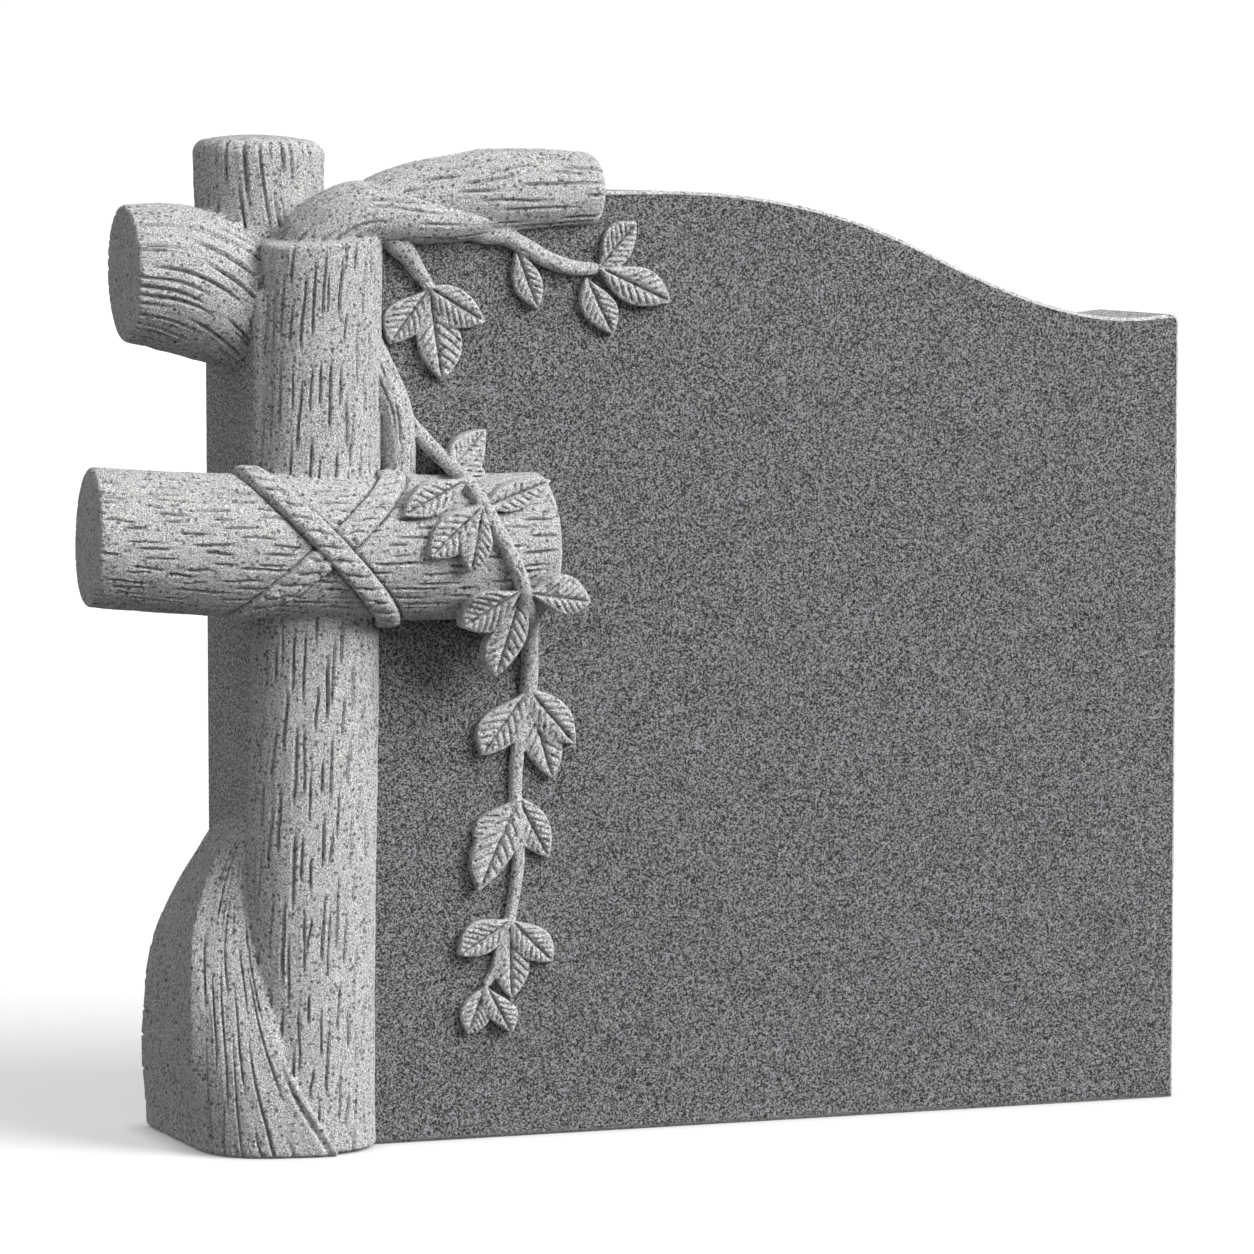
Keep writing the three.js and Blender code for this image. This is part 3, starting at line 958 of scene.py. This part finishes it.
@dataclass(frozen=True)
class Leaf:
    """A leaf on the stone: base, the way it points in degrees from +X up, length and bulges."""

    base: Spot
    turn: float
    length: float
    left: Spot
    right: Spot
    over: float = 0.0

    # How high the rim lies over the stone and the lobes over the rim, and where they are highest
    LIFT = 7.0
    RISE = 3.0
    CREST = 0.8
    # The half width where the lobes reach their full height
    FULL = 8.0
    # The half width at base and tip, how full the sides are, and the points along each of them
    BLUNT = 0.8
    SWELL = 0.85
    PARTS = 18
    # The depth and half width of the midrib and of the veins, and how many veins there are
    MIDRIB = (3.6, 2.0)
    VEIN = (3.0, 2.0)
    VEINS = 8.5
    # How far the veins lean to the tip, how much they bend, and how far off the midrib they start
    LEAN = 0.75
    BEND = 0.012
    START = 0.8
    # How far from the rim the veins stop and over what width, and how fast all comes and goes
    MARGIN = (1.5, 2.0)
    TAPER = (12.0, 8.0)
    # How much of the log's height a tip keeps, how thick a leaf is, how far one swings out above it
    HANG = 0.8
    THICK = 18.0
    SWAG = 26.0
    # Where the log is felt for beside the base, as shares of the length and of the half width
    SHOULDER = (0.3, 0.8)
    # The room round a leaf: beside it, in front of it and behind it
    ROOM = (8.0, 24.0, 4.0)
    # How much nearer its sloping face is than straight ahead, its edge's radius and its fillet
    SLOPE = 0.9
    RIM = 1.1
    SOFT = 0.8

    def half(self, part: np.ndarray, bulge: Spot) -> np.ndarray:
        """Half width on one side.

        Args:
            part: shares of the length.
            bulge: the share at which this side is widest, and its half width there.

        Returns:
            The half width at each share.
        """
        lean = math.log(0.5) / math.log(bulge[0])
        swell = np.clip(np.sin(math.pi * np.clip(part, 0, 1) ** lean), 0, 1)
        return np.maximum(bulge[1] * swell**self.SWELL, self.BLUNT)

    def outline(self) -> np.ndarray:
        """The outline in the leaf's own plane.

        Returns:
            [along, to the left] rows.
        """
        part = (1 - np.cos(np.linspace(0, math.pi, self.PARTS))) / 2
        left = np.column_stack([part * self.length, self.half(part, self.left)])
        right = np.column_stack([part * self.length, -self.half(part, self.right)])
        return np.vstack([left, right[::-1]])

    def carve(self, block: Block, cross: Cross) -> None:
        """Adds the leaf to a block, standing on the log or on the polished face.

        Args:
            block: the block that it is added to.
            cross: the cross that it may lie on.
        """
        angle = math.radians(self.turn)
        ahead = np.array([math.cos(angle), math.sin(angle)])
        tip = np.array(self.base) + ahead * self.length
        spots = np.array([self.base, tip])
        levels = cross.front(spots[:, 0], spots[:, 1])
        if cross.over_log(self.base):
            levels[0] = -self.SWAG
        elif levels[0] < 0:
            onward, aside = self.SHOULDER
            beside = np.outer([self.left[1], -self.right[1]], [-ahead[1], ahead[0]]) * aside + spots[0]
            beside = beside + ahead * onward * self.length
            levels[0] = min(levels[0], *cross.front(beside[:, 0], beside[:, 1]))
            levels[1] = min(levels[1], self.HANG * levels[0])
        around, before, behind = self.ROOM
        reach = max(self.left[1], self.right[1]) + around
        low, high = spots.min(0) - reach, spots.max(0) + reach
        corner = (low[0], levels.min() - before, low[1])
        window = block.window(corner, (high[0], BURIED + behind, high[1]))
        x, z = window.x[:, 0, :], window.z[0, :, :]
        along = (x - self.base[0]) * ahead[0] + (z - self.base[1]) * ahead[1]
        left = -(x - self.base[0]) * ahead[1] + (z - self.base[1]) * ahead[0]
        edge = outline_distance(along, left, self.outline())[0]
        part = np.clip(along / self.length, 0, 1)
        raised = self.LIFT + self.over + self.surface(along, left)
        face = levels[0] + (levels[1] - levels[0]) * part - raised
        face = np.minimum(face, cross.front(x, z, raised))
        top = (face[:, None, :] - window.y) * self.SLOPE
        back = window.y - np.minimum(face[:, None, :] + self.THICK, BURIED)
        distance = round_cut(edge[:, None, :] + 0 * top, np.maximum(top, back), self.RIM)
        block.join(window, distance, self.SOFT)

    def surface(self, along: np.ndarray, left: np.ndarray) -> np.ndarray:
        """How high the face stands over its rim: two lobes, cut by the midrib and the veins.

        Args:
            along: places along the leaf.
            left: places to the left of its midrib.

        Returns:
            The height at each place.
        """
        part = np.clip(along / self.length, 0, 1)
        half = np.where(left > 0, self.half(part, self.left), self.half(part, self.right))
        out = np.abs(left)
        share = np.clip(out / half, 0, 1)
        lobes = self.RISE * np.sin(math.pi * share**self.CREST) * np.clip(half / self.FULL, 0, 1)
        taper = np.clip(np.minimum(part * self.TAPER[0], (1 - part) * self.TAPER[1]), 0, 1)
        midrib = self.MIDRIB[0] * np.clip(1 - out / self.MIDRIB[1], 0, 1) * taper
        pitch = self.length / self.VEINS
        phase = (along - self.LEAN * out - self.BEND * left**2) / pitch
        off = np.abs(phase - np.round(phase)) * pitch
        margin = np.clip((half - out - self.MARGIN[0]) / self.MARGIN[1], 0, 1) * taper
        veins = self.VEIN[0] * np.clip(1 - off / self.VEIN[1], 0, 1) * margin
        return lobes - midrib - veins * np.clip(out - self.START, 0, 1)


def leaves() -> tuple[Leaf, ...]:
    """Every leaf of the vine, spray by spray from the top twig to the tip.

    Returns:
        The leaves.
    """
    # Each spray's base, and for each leaf: turn, length, the left bulge's share and width, the
    # right bulge's, and how far it lies over its neighbours
    sprays = (
        ((161, 774), ((-127, 62, 0.49, 17, 0.64, 20, 0), (-82, 84, 0.61, 24, 0.53, 18, 0),
                      (-31, 60, 0.45, 14, 0.53, 20, 3))),
        ((243, 808), ((-69, 57, 0.57, 13, 0.55, 14, 0),)),
        ((322, 791), ((49, 54, 0.60, 17, 0.42, 16, 0), (-25, 74, 0.60, 18, 0.50, 18, 3))),
        ((310, 782), ((-64, 57, 0.60, 15, 0.45, 17, 0),)),
        ((174, 613), ((40, 52, 0.38, 15, 0.30, 22, 0),)),
        ((177, 606), ((-154, 70, 0.52, 14, 0.60, 15, 0),)),
        ((194, 582), ((18, 67, 0.43, 12, 0.41, 13, 0),)),
        ((186, 583), ((-138, 68, 0.59, 17, 0.56, 17, 0), (-102, 61, 0.57, 15, 0.59, 15, 3))),
        ((231, 503), ((-9, 64, 0.55, 21, 0.63, 15, 0),)),
        ((226, 499), ((-105, 75, 0.44, 17, 0.66, 18, 0),)),
        ((224, 506), ((-148, 61, 0.61, 19, 0.62, 20, 3),)),
        ((253, 410), ((-74, 86, 0.63, 18, 0.52, 18, 0), (-127, 74, 0.51, 19, 0.66, 20, 2),
                      (-49, 68, 0.52, 17, 0.52, 17, 3))),
        ((243, 312), ((-130, 60, 0.46, 13, 0.66, 16, 0), (-62, 64, 0.50, 16, 0.55, 16, 0),
                      (-114, 92, 0.46, 17, 0.62, 21, 3))),
        ((236, 200), ((-89, 72, 0.58, 18, 0.56, 17, 0), (-148, 58, 0.50, 14, 0.58, 18, 2),
                      (-45, 56, 0.60, 16, 0.50, 17, 3))),
        ((213, 141), ((-112, 47, 0.59, 15, 0.57, 14, 0), (-62, 50, 0.66, 15, 0.38, 13, 2))),
    )
    return tuple(
        Leaf(base, turn, length, (left_at, left), (right_at, right), over)
        for base, spray in sprays
        for turn, length, left_at, left, right_at, right, over in spray
    )


def stem_bark(seed: int) -> Bark:
    """The short, shallow strokes on a stem or a twig."""
    return Bark(seed=seed, spacing=7, stroke=(7, 20), gap=(8, 24), depth=1.8, width=3, swell=0.4)


@dataclass(frozen=True)
class Vine:
    """The vine: its root beside the post, its long stem, two twigs under the bough, the leaves."""

    trunk: Limb = Limb(
        path=((102, 6, 740), (114, -2, 705), (127, -4, 670), (132, -4, 630), (132, -2, 590)),
        wide=(11, 14, 16, 16, 15),
        bark=Bark(seed=41, spacing=8, stroke=(40, 110), gap=(6, 20), depth=3, width=3.4),
    )
    stems: tuple[Limb, ...] = (
        Limb(
            path=((128, -2, 672), (148, -6, 646), (172, -26, 617), (185, -58, 596), (200, -79, 563),
                  (219, -80, 526), (235, -62, 490), (252, -16, 462), (255, -3, 412), (245, -3, 362),
                  (242, -3, 312), (245, -3, 258), (237, -3, 202), (225, -3, 160), (213, -3, 140)),
            wide=(7.5, 7.2, 7, 7, 7, 7, 7.2, 7.6, 8, 6.6, 6, 6, 5.5, 5, 4),
            bark=stem_bark(43),
        ),
        Limb(
            path=((118, 2, 832), (129, -3, 817), (141, -4, 804), (151, -4, 789), (163, -3, 773)),
            wide=(13, 12, 9, 7, 5),
            bark=stem_bark(45),
        ),
        Limb(
            path=((190, 0, 832), (213, -3, 822), (232, -4, 820), (248, -4, 812), (270, -4, 800),
                  (296, -4, 791), (322, -3, 790)),
            wide=(9, 9, 8, 8, 7.5, 7, 5),
            bark=stem_bark(47),
        ),
    )

    def carve(self, block: Block, cross: Cross) -> None:
        """Adds the vine to a block.

        Args:
            block: the block that it is added to.
            cross: the cross that its leaves may lie on.
        """
        self.trunk.carve(block, soft=3)
        for leaf in leaves():
            leaf.carve(block, cross)
        for stem in self.stems:
            stem.carve(block, soft=2.5)


@dataclass(frozen=True)
class Granite:
    """A granite finish: its grain's colours, how rough it is, how far the grain stands out, and how far
    hollows are darkened as painted shade and edges lightened as painted highlight.
    """

    name: str
    dark: tuple[float, float, float]
    body: tuple[float, float, float]
    light: tuple[float, float, float]
    roughness: float
    bump: float
    contrast: float = 0.09
    grain: float = 620.0
    pits: float = 0.0
    pitted: float = 150.0
    # How far hollows are darkened as painted shade, and edges lightened as painted highlight, by the
    # mesh's pointiness
    painted_shade_and_highlight: float = 0.0

    # The detail and distortion of the grain's colour and of its relief, and how coarse that is
    GRAIN = (2.0, 1.2)
    RELIEF = (4.0, 2.0)
    COARSE = 0.45
    # How far from a pit's middle its shade starts to fade and has faded
    PIT = (0.17, 0.32)
    # How bent a hollow, plain stone and an edge are, and the hollows' shade beside the edges' light
    BENT = (0.42, 0.49, 0.51, 0.6)
    EDGES = 3

    def material(self) -> bpy.types.Material:
        """The finish as a node material in the object's own coordinates.

        Returns:
            The material.
        """
        made = bpy.data.materials.new(self.name)
        made.use_nodes = True
        tree = made.node_tree
        shader = tree.nodes["Principled BSDF"]
        shader.inputs["Roughness"].default_value = self.roughness
        place = tree.nodes.new("ShaderNodeTexCoord").outputs["Object"]
        worms = self.noise(tree, place, self.grain, *self.GRAIN)
        low, high = 0.5 - self.contrast, 0.5 + self.contrast
        grain = self.ramp(tree, worms, ((low, self.dark), (0.5, self.body), (high, self.light)))
        cells = tree.nodes.new("ShaderNodeTexVoronoi")
        cells.inputs["Scale"].default_value = self.pitted
        tree.links.new(place, cells.inputs["Vector"])
        stops = self.greys(self.PIT, (1 - self.pits, 1.0))
        pits = self.ramp(tree, cells.outputs["Distance"], stops)
        colour = self.product(tree, grain, pits)
        # Painted shade and highlight: hollows of the mesh, found by pointiness, are darkened and its
        # sharp edges lightened
        if self.painted_shade_and_highlight:
            bent = tree.nodes.new("ShaderNodeNewGeometry").outputs["Pointiness"]
            shades = (1 - self.painted_shade_and_highlight, 1.0, 1.0, 1 + self.painted_shade_and_highlight / self.EDGES)
            stops = self.greys(self.BENT, shades)
            colour = self.product(tree, colour, self.ramp(tree, bent, stops))
        tree.links.new(colour, shader.inputs["Base Color"])
        bump = tree.nodes.new("ShaderNodeBump")
        bump.inputs["Distance"].default_value = self.bump * MM
        height = self.noise(tree, place, self.grain * self.COARSE, *self.RELIEF)
        tree.links.new(height, bump.inputs["Height"])
        tree.links.new(bump.outputs["Normal"], shader.inputs["Normal"])
        return made

    def greys(self, places: Sequence[float], shades: Sequence[float]) -> list[tuple[float, Point]]:
        """The stops of a ramp of greys, one shade to each place."""
        return [(place, (shade,) * 3) for place, shade in zip(places, shades)]

    def product(self, tree: bpy.types.NodeTree, a: bpy.types.NodeSocket,
                b: bpy.types.NodeSocket) -> bpy.types.NodeSocket:
        """Multiplies two colours.

        Args:
            tree: the material's nodes.
            a: the socket with one colour.
            b: the socket with the other.

        Returns:
            The socket with their product.
        """
        node = tree.nodes.new("ShaderNodeVectorMath")
        node.operation = "MULTIPLY"
        tree.links.new(a, node.inputs[0])
        tree.links.new(b, node.inputs[1])
        return node.outputs["Vector"]

    def ramp(self, tree: bpy.types.NodeTree, value: bpy.types.NodeSocket,
             stops: Sequence[tuple[float, Point]]) -> bpy.types.NodeSocket:
        """Turns a value into a colour.

        Args:
            tree: the material's nodes.
            value: the socket with the value.
            stops: values in rising order, and the colour of each.

        Returns:
            The socket with the colour.
        """
        ramp = tree.nodes.new("ShaderNodeValToRGB")
        line = ramp.color_ramp.elements
        line[0].position, line[1].position = stops[0][0], stops[-1][0]
        for position, colour in stops[1:-1]:
            line.new(position)
        for stop, (position, colour) in zip(line, stops):
            stop.color = (*colour, 1)
        tree.links.new(value, ramp.inputs["Fac"])
        return ramp.outputs["Color"]

    def noise(self, tree: bpy.types.NodeTree, place: bpy.types.NodeSocket, scale: float, detail: float,
              distortion: float) -> bpy.types.NodeSocket:
        """A noise texture's value.

        Args:
            tree: the material's nodes.
            place: where it is read.
            scale: how many grains there are to the metre.
            detail: how many finer layers it has.
            distortion: how far the grains are pulled into worms.

        Returns:
            The socket with its value.
        """
        noise = tree.nodes.new("ShaderNodeTexNoise")
        noise.inputs["Scale"].default_value = scale
        noise.inputs["Detail"].default_value = detail
        noise.inputs["Distortion"].default_value = distortion
        tree.links.new(place, noise.inputs["Vector"])
        return noise.outputs["Fac"]


FINISHES: dict[Finish, Granite] = {
    Finish.CARVED: Granite(
        name="carved_granite",
        dark=(0.24, 0.24, 0.24),
        body=(0.76, 0.76, 0.75),
        light=(1.0, 1.0, 0.98),
        roughness=0.85,
        bump=5.0,
        contrast=0.07,
        grain=900.0,
        pits=0.65,
        # Hollows darkened as painted shade and edges lightened as painted highlight
        painted_shade_and_highlight=0.6,
    ),
    Finish.POLISHED: Granite(
        name="polished_granite",
        dark=(0.002, 0.002, 0.003),
        body=(0.02, 0.02, 0.024),
        light=(0.32, 0.32, 0.33),
        roughness=0.35,
        bump=0.05,
        contrast=0.045,
    ),
    Finish.SAWN: Granite(
        name="sawn_granite",
        dark=(0.03, 0.03, 0.03),
        body=(0.37, 0.37, 0.36),
        light=(0.85, 0.85, 0.83),
        roughness=0.9,
        bump=3.5,
        contrast=0.06,
        pits=0.4,
    ),
}


@dataclass
class Headstone:
    """The whole stone: the slab and all its carving as one body."""

    slab: Slab = field(default_factory=Slab)
    cross: Cross = field(default_factory=Cross)
    tree: Tree = field(default_factory=Tree)
    root: Root = field(default_factory=Root)
    vine: Vine = field(default_factory=Vine)
    low: Point = (-170.0, -112.0, -4.2)
    high: Point = (404.0, 178.0, 924.0)
    foot: float = 5.0
    hollow: float = 8.0
    name: str = "carved_headstone"

    # How near a face lies to a flat side of the slab, and how squarely it looks the side's way
    NEAR = 0.1
    SQUARE = 0.99
    # The sawn top: how near a face lies to it and how much it looks up, and the widths at the
    # front and the right that the chamfer and the rounded corner take
    TOP_NEAR = 1.0
    TOP_UP = 0.8
    FRONT = 3.0
    CORNER = 9.0
    # The underside's faces stay flat, and edges sharper than this angle stay sharp
    UNDER = 0.05
    SHARP = 50.0

    def carve(self) -> Block:
        """Carves everything that stands out from the slab.

        Returns:
            The carving as a block, open where the slab fills it.
        """
        block = Block(self.low, self.high)
        crown = Block(self.low, self.high)
        self.tree.carve(crown)
        self.cross.carve(block)
        block.add(crown, soft=2.5)
        del crown
        self.root.carve(block, soft=3)
        self.vine.carve(block, self.cross)
        whole = block.window(self.low, self.high)
        block.distance = round_cut(block.distance, -whole.z, self.foot)
        open_air = np.maximum(block.distance, -self.slab.hold(whole, self.hollow))
        block.distance = open_air.astype(np.float32)
        return block

    def build(self) -> bpy.types.Object:
        """Carves the stone, joins it to the slab and dresses it.

        Returns:
            The finished stone.
        """
        points, triangles, quads = self.carve().surface()
        LOG.info("carving: %d points, %d quads", len(points), len(quads))
        stone = self.solid(points, triangles, quads)
        self.thin(stone, FACES)
        self.unite(stone, self.slab.mesh())
        self.dress(stone)
        return stone

    def solid(self, points: np.ndarray, triangles: np.ndarray, quads: np.ndarray) -> bpy.types.Object:
        """The carving's surface as an object with its faces pointing out."""
        faces = [face[::-1] for face in (*triangles.tolist(), *quads.tolist())]
        return make_object(self.name, points, faces)

    def thin(self, stone: bpy.types.Object, faces: int) -> None:
        """Takes triangles out where the surface is plain.

        Args:
            stone: the object that is thinned.
            faces: how many triangles it keeps.
        """
        triangles = sum(len(face.vertices) - 2 for face in stone.data.polygons)
        modifier = stone.modifiers.new("thin", "DECIMATE")
        modifier.ratio = min(faces / triangles, 1)
        self.apply(stone)

    def unite(self, stone: bpy.types.Object, slab: bpy.types.Object) -> None:
        """Joins the slab to the carving as one solid.

        Args:
            stone: the carving, which becomes the whole stone.
            slab: the slab, which is taken away.
        """
        modifier = stone.modifiers.new("unite", "BOOLEAN")
        modifier.operation = "UNION"
        modifier.solver = "MANIFOLD"
        modifier.object = slab
        self.apply(stone)
        bpy.data.objects.remove(slab)

    def apply(self, stone: bpy.types.Object) -> None:
        """Replaces the object's mesh by what its modifiers make of it.

        Args:
            stone: the object.
        """
        shown = stone.evaluated_get(bpy.context.evaluated_depsgraph_get())
        mesh = bpy.data.meshes.new_from_object(shown)
        stone.modifiers.clear()
        stone.data = mesh
        mesh.name = stone.name

    def split(self, mesh: bpy.types.Mesh) -> None:
        """Splits every face into triangles.

        Args:
            mesh: the mesh that is changed.
        """
        work = bmesh.new()
        work.from_mesh(mesh)
        bmesh.ops.triangulate(work, faces=work.faces[:], ngon_method="BEAUTY")
        work.to_mesh(mesh)
        work.free()

    def dress(self, stone: bpy.types.Object) -> None:
        """Gives every face of the stone its finish and shading.

        Args:
            stone: the finished stone.
        """
        mesh = stone.data
        self.split(mesh)
        mesh.materials.clear()
        for finish in Finish:
            mesh.materials.append(FINISHES[finish].material())
        centres, normals = np.zeros(len(mesh.polygons) * 3), np.zeros(len(mesh.polygons) * 3)
        mesh.polygons.foreach_get("center", centres)
        mesh.polygons.foreach_get("normal", normals)
        middle = (self.slab.width / 2, self.slab.depth / 2, 0)
        x, y, z = (centres.reshape(-1, 3) / MM + middle).T
        across, back, up = normals.reshape(-1, 3).T
        polished = (np.abs(y) < self.NEAR) & (back < -self.SQUARE)
        left = (np.abs(x) < self.NEAR) & (across < -self.SQUARE)
        sides = left | (x > self.slab.width - self.CORNER) | (y > self.slab.depth - self.NEAR)
        rise = np.abs(z - np.interp(x, *self.slab.top().T))
        top = (rise < self.TOP_NEAR) & (up > self.TOP_UP) & (y > self.FRONT)
        sawn = (sides | top) & ~polished & (y > self.FRONT - self.NEAR)
        kinds = np.full(len(x), Finish.CARVED.value, np.int32)
        kinds[sawn] = Finish.SAWN.value
        kinds[polished] = Finish.POLISHED.value
        mesh.polygons.foreach_set("material_index", kinds)
        smooth = ~(polished | sawn) & (np.abs(z) > self.UNDER)
        mesh.set_sharp_from_angle(angle=math.radians(self.SHARP))
        mesh.polygons.foreach_set("use_smooth", smooth)
        mesh.update()
        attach(stone, BODY)
        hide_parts(NODE)


@dataclass(frozen=True)
class Studio:
    """The pale floor and backdrop, the soft lights and the camera at the photograph's angle."""

    photo: int = 1254
    focal: float = 5680.0
    sensor: float = 36.0
    stand: Point = (-1.789, -4.964, 0.906)
    turn: float = 19.1
    tilt: float = 4.9
    room: float = 40.0
    key: Point = (0.64, -0.56, 0.55)
    key_spread: float = 40.0
    key_power: float = 4.9
    sky: Point = (0.0, -0.25, 1.0)
    sky_spread: float = 140.0
    sky_power: float = 0.7
    side: Point = (-0.8, -0.55, 0.4)
    side_spread: float = 100.0
    side_power: float = 0.36
    fill: float = 0.2
    floor_colour: float = 0.5
    floor_glow: float = 0.46
    backdrop_glow: float = 1.05
    # How near the stone the floor's glow is dimmed, a painted shadow at the stone's foot
    painted_shadow_reach: float = 0.03
    floor_drop: float = 0.0005
    roughness: float = 0.9
    floor_parts: int = 64
    dome_parts: int = 48

    def camera(self) -> None:
        """The camera, from the fitted place and angles."""
        data = bpy.data.cameras.new("camera")
        data.sensor_width = self.sensor
        data.lens = self.sensor * self.focal / self.photo
        thing = bpy.data.objects.new("camera", data)
        thing.location = self.stand
        a, e = math.radians(self.turn), math.radians(self.tilt)
        ahead = Vector((math.sin(a) * math.cos(e), math.cos(a) * math.cos(e), -math.sin(e)))
        thing.rotation_euler = ahead.to_track_quat("-Z", "Y").to_euler()
        bpy.context.scene.collection.objects.link(thing)
        bpy.context.scene.camera = thing

    def light(self, name: str, place: Point, spread: float, power: float) -> None:
        """One far, wide light.

        Args:
            name: its name.
            place: the direction that it shines from.
            spread: how wide it looks from the stone, in degrees.
            power: its strength.
        """
        data = bpy.data.lights.new(name, "SUN")
        data.angle = math.radians(spread)
        data.energy = power
        thing = bpy.data.objects.new(name, data)
        thing.location = place
        thing.rotation_euler = (-Vector(place)).to_track_quat("-Z", "Y").to_euler()
        bpy.context.scene.collection.objects.link(thing)

    def lights(self) -> None:
        """A large soft light from the upper right, softer ones from above and left, and a fill."""
        self.light("key", self.key, self.key_spread, self.key_power)
        self.light("sky", self.sky, self.sky_spread, self.sky_power)
        self.light("side", self.side, self.side_spread, self.side_power)
        world = bpy.data.worlds.new("fill")
        world.use_nodes = True
        world.node_tree.nodes["Background"].inputs["Color"].default_value = (1, 1, 1, 1)
        world.node_tree.nodes["Background"].inputs["Strength"].default_value = self.fill
        bpy.context.scene.world = world
        bpy.context.scene.view_settings.view_transform = "Standard"

    def paint(self, name: str, colour: float, glow: float, painted_shadow_reach: float = 0.0) -> bpy.types.Material:
        """A plain pale paint that glows; given a reach, its glow is dimmed near other things as a
        painted shadow.

        Args:
            name: its name.
            colour: how pale it is.
            glow: how bright it is by itself.
            painted_shadow_reach: how near something has to be to dim the glow, which paints a shadow.

        Returns:
            The material.
        """
        made = bpy.data.materials.new(name)
        made.use_nodes = True
        shader = made.node_tree.nodes["Principled BSDF"]
        shader.inputs["Base Color"].default_value = (colour, colour, colour, 1)
        shader.inputs["Roughness"].default_value = self.roughness
        shader.inputs["Specular IOR Level"].default_value = 0
        shader.inputs["Emission Color"].default_value = (1, 1, 1, 1)
        shader.inputs["Emission Strength"].default_value = glow
        # Painted shadow: the glow is dimmed by ambient occlusion where something stands near
        if painted_shadow_reach:
            near = made.node_tree.nodes.new("ShaderNodeAmbientOcclusion")
            near.inputs["Distance"].default_value = painted_shadow_reach
            made.node_tree.links.new(near.outputs["Color"], shader.inputs["Emission Color"])
        return made

    def ground(self) -> None:
        """The floor and a far round backdrop, which light nothing."""
        bpy.ops.mesh.primitive_circle_add(
            vertices=self.floor_parts,
            radius=self.room,
            fill_type="NGON",
            location=(0, 0, -self.floor_drop),
        )
        floor = bpy.context.object
        floor.name = "floor"
        # The floor's glow is dimmed round the stone's foot as a painted shadow
        paint = self.paint("floor_paint", self.floor_colour, self.floor_glow, self.painted_shadow_reach)
        floor.data.materials.append(paint)
        bpy.ops.mesh.primitive_uv_sphere_add(
            segments=self.dome_parts, ring_count=self.dome_parts // 2, radius=self.room
        )
        dome = bpy.context.object
        dome.name = "backdrop"
        dome.data.materials.append(self.paint("backdrop_paint", 0.0, self.backdrop_glow))
        for thing in (floor, dome):
            thing.visible_diffuse = False
            thing.visible_glossy = False
        dome.visible_shadow = False

    def clear(self) -> None:
        """Takes away what a new file starts with."""
        kept = [*frame["nodes"].values(), *frame["bodies"].values()]
        for thing in [thing for thing in bpy.data.objects if thing not in kept]:
            bpy.data.objects.remove(thing)

    def build(self) -> None:
        """Sets up the studio."""
        self.clear()
        self.camera()
        self.lights()
        self.ground()


def main() -> None:
    """Builds the studio and the stone, and writes how large they are."""
    logging.basicConfig(level=logging.INFO, format="%(name)s: %(message)s")
    Studio().build()
    stone = Headstone().build()
    count = sum(len(face.vertices) - 2 for face in stone.data.polygons)
    LOG.info("%s: %d triangles", stone.name, count)


if __name__ == "__main__":
    main()
